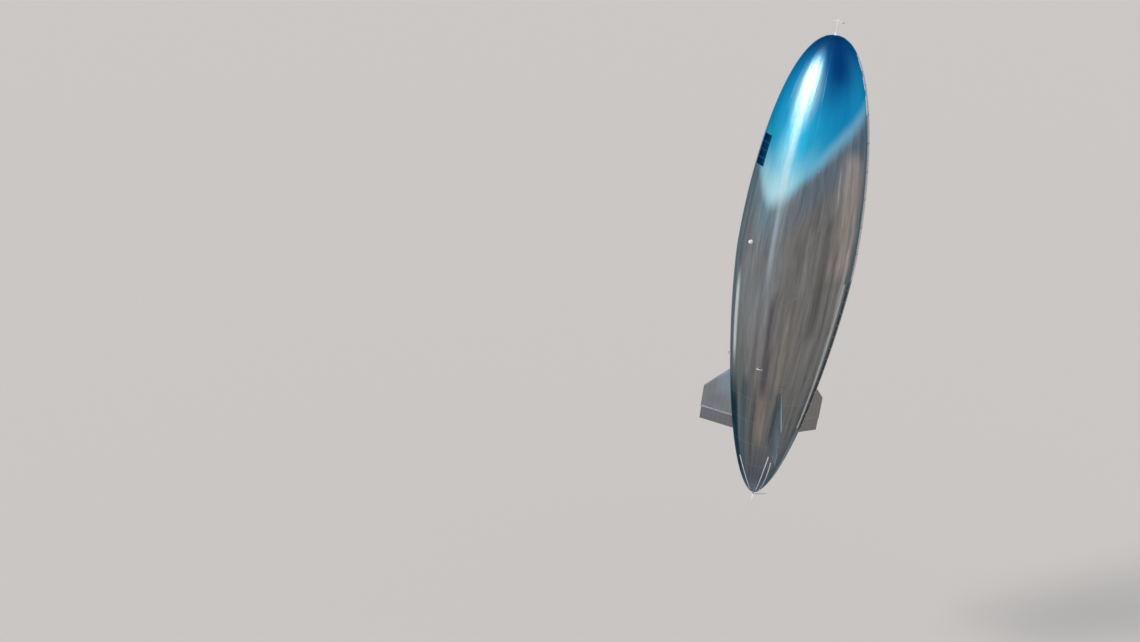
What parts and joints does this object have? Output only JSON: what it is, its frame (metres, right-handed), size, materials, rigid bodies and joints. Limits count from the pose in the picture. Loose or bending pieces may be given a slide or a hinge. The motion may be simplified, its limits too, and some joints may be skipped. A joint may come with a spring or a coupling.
{
  "type": "stratospheric airship, 1:2 scale model",
  "caption": "Slender unmanned airship standing nose up, metallised film hull with a solar array on its back, tail fins with flaps and a gimballed tail propeller.",
  "frame": {"origin": "the envelope's centre of lift, on its axis", "axes": "+Z along the hull's axis to the nose, +Y to the ship's back with the solar array, +X to the ship's port side, which is the right of a view from the belly with the nose up"},
  "size_m": [8.7922, 9.3075, 34.1725],
  "materials": {
    "hull_film": "metallised film, mirror bright, blue over the nose",
    "fin_film": "silver-grey film over ribs",
    "white_paint": "satin white paint",
    "solar_cell": "dark blue cells under clear film",
    "cable_tape": "dark cable duct between strips of matt beige tape",
    "grey_paint": "satin grey paint",
    "bare_metal": "machined aluminium",
    "carbon": "black carbon composite",
    "blade_paint": "gloss white composite"
  },
  "bodies": {
    "hull": {"envelope": "hull_film", "nose_cap": "hull_film", "fin_pad_back": "hull_film", "fin_pad_right": "hull_film", "fin_pad_left": "hull_film", "handling_patch_fore_right": "hull_film", "handling_patch_fore_left": "hull_film", "handling_patch_mid_right": "hull_film", "handling_patch_mid_left": "hull_film", "fin_back": "fin_film", "fin_right": "fin_film", "fin_left": "fin_film", "mast_cone": "white_paint", "nose_mast": "white_paint", "mast_crossbar": "white_paint", "mast_beacon": "white_paint", "belly_dome": "white_paint", "tail_fitting": "white_paint", "fin_spar_back": "white_paint", "fin_spar_right": "white_paint", "fin_spar_left": "white_paint", "solar_module_1": "solar_cell", "solar_module_2": "solar_cell", "solar_module_3": "solar_cell", "solar_module_4": "solar_cell", "solar_module_5": "solar_cell", "solar_module_6": "solar_cell", "solar_module_7": "solar_cell", "solar_module_8": "solar_cell", "belly_array": "solar_cell", "cable_run_right": "cable_tape", "cable_run_left": "cable_tape", "mast_vane": "grey_paint", "flap_actuator_back": "grey_paint", "flap_actuator_right": "grey_paint", "flap_actuator_left": "grey_paint", "stand_off_rail_right": "bare_metal", "stand_off_rail_left": "bare_metal"},
    "flap_body_back": {"flap_back": "fin_film"},
    "flap_body_right": {"flap_right": "fin_film"},
    "flap_body_left": {"flap_left": "fin_film"},
    "gimbal": {"gimbal_ring": "bare_metal"},
    "thruster": {"motor": "carbon"},
    "propeller": {"propeller_hub": "blade_paint", "blade_1": "blade_paint", "blade_2": "blade_paint", "blade_3": "blade_paint"}
  },
  "joints": [
    {"name": "flap_back_hinge", "type": "hinge", "parent": "hull", "child": "flap_body_back", "pos_m": [0, 3.8, -12.55], "axis": [0, 1, 0], "range_deg": [-25, 25]},
    {"name": "flap_right_hinge", "type": "hinge", "parent": "hull", "child": "flap_body_right", "pos_m": [3.2909, -1.9, -12.55], "axis": [0.866, -0.5, 0], "range_deg": [-25, 25]},
    {"name": "flap_left_hinge", "type": "hinge", "parent": "hull", "child": "flap_body_left", "pos_m": [-3.2909, -1.9, -12.55], "axis": [-0.866, -0.5, 0], "range_deg": [-25, 25]},
    {"name": "gimbal_tilt_x", "type": "hinge", "parent": "hull", "child": "gimbal", "pos_m": [0, 0, -17.86], "axis": [1, 0, 0], "range_deg": [-20, 20]},
    {"name": "gimbal_tilt_y", "type": "hinge", "parent": "gimbal", "child": "thruster", "pos_m": [0, 0, -17.86], "axis": [0, 1, 0], "range_deg": [-20, 20]},
    {"name": "propeller_spin", "type": "hinge", "parent": "thruster", "child": "propeller", "pos_m": [0, 0, -17.965], "axis": [0, 0, -1], "continuous": true}
  ]
}
